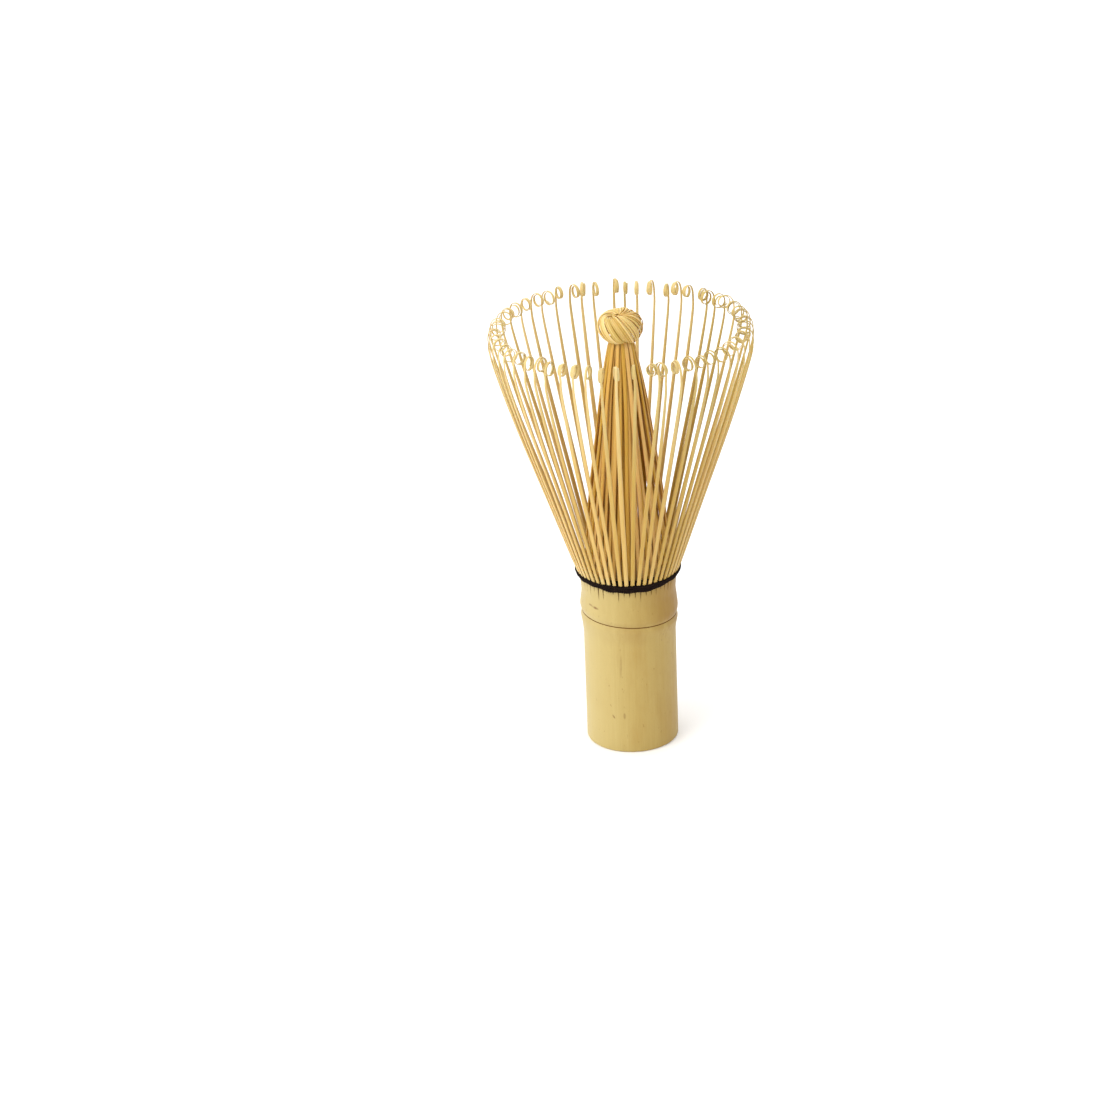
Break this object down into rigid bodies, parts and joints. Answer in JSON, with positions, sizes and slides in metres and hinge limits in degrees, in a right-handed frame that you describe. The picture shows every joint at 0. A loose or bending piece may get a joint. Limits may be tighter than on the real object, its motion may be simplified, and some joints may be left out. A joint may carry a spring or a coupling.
{
  "type": "bamboo tea whisk",
  "caption": "Hand-split bamboo whisk for frothing powdered tea: hollow handle, curled outer tines, inner bundle folded into a knob, bound with dark thread.",
  "frame": {"origin": "centre of the handle's cut end, which is the lowest plane of the whisk", "axes": "+Z along the culm from the handle to the tine tips; -Y is the side the reference view looks from; +X completes the right-handed frame"},
  "size_m": [0.0588, 0.0588, 0.1044],
  "materials": {
    "bamboo_skin": "smooth satin culm skin with fine vertical fibres",
    "bamboo_septum": "matte papery inner wall",
    "bamboo_outer_tine": "shaved satin bamboo",
    "bamboo_inner_tine": "split satin bamboo",
    "thread": "matte twisted cotton"
  },
  "bodies": {
    "root": {"handle_culm": "bamboo_skin", "node_collar": "bamboo_skin", "node_septum": "bamboo_septum", "outer_tines_01": "bamboo_outer_tine", "inner_tines_01": "bamboo_inner_tine", "outer_tines_02": "bamboo_outer_tine", "inner_tines_02": "bamboo_inner_tine", "outer_tines_03": "bamboo_outer_tine", "inner_tines_03": "bamboo_inner_tine", "outer_tines_04": "bamboo_outer_tine", "inner_tines_04": "bamboo_inner_tine", "outer_tines_05": "bamboo_outer_tine", "inner_tines_05": "bamboo_inner_tine", "outer_tines_06": "bamboo_outer_tine", "inner_tines_06": "bamboo_inner_tine", "outer_tines_07": "bamboo_outer_tine", "inner_tines_07": "bamboo_inner_tine", "outer_tines_08": "bamboo_outer_tine", "inner_tines_08": "bamboo_inner_tine", "outer_tines_09": "bamboo_outer_tine", "inner_tines_09": "bamboo_inner_tine", "outer_tines_10": "bamboo_outer_tine", "inner_tines_10": "bamboo_inner_tine", "outer_tines_11": "bamboo_outer_tine", "inner_tines_11": "bamboo_inner_tine", "outer_tines_12": "bamboo_outer_tine", "inner_tines_12": "bamboo_inner_tine", "outer_tines_13": "bamboo_outer_tine", "inner_tines_13": "bamboo_inner_tine", "outer_tines_14": "bamboo_outer_tine", "inner_tines_14": "bamboo_inner_tine", "outer_tines_15": "bamboo_outer_tine", "inner_tines_15": "bamboo_inner_tine", "outer_tines_16": "bamboo_outer_tine", "inner_tines_16": "bamboo_inner_tine", "outer_tines_17": "bamboo_outer_tine", "inner_tines_17": "bamboo_inner_tine", "outer_tines_18": "bamboo_outer_tine", "inner_tines_18": "bamboo_inner_tine", "thread_round_lower": "thread", "thread_round_upper": "thread", "thread_round_inner": "thread", "thread_knot": "thread"}
  },
  "joints": []
}
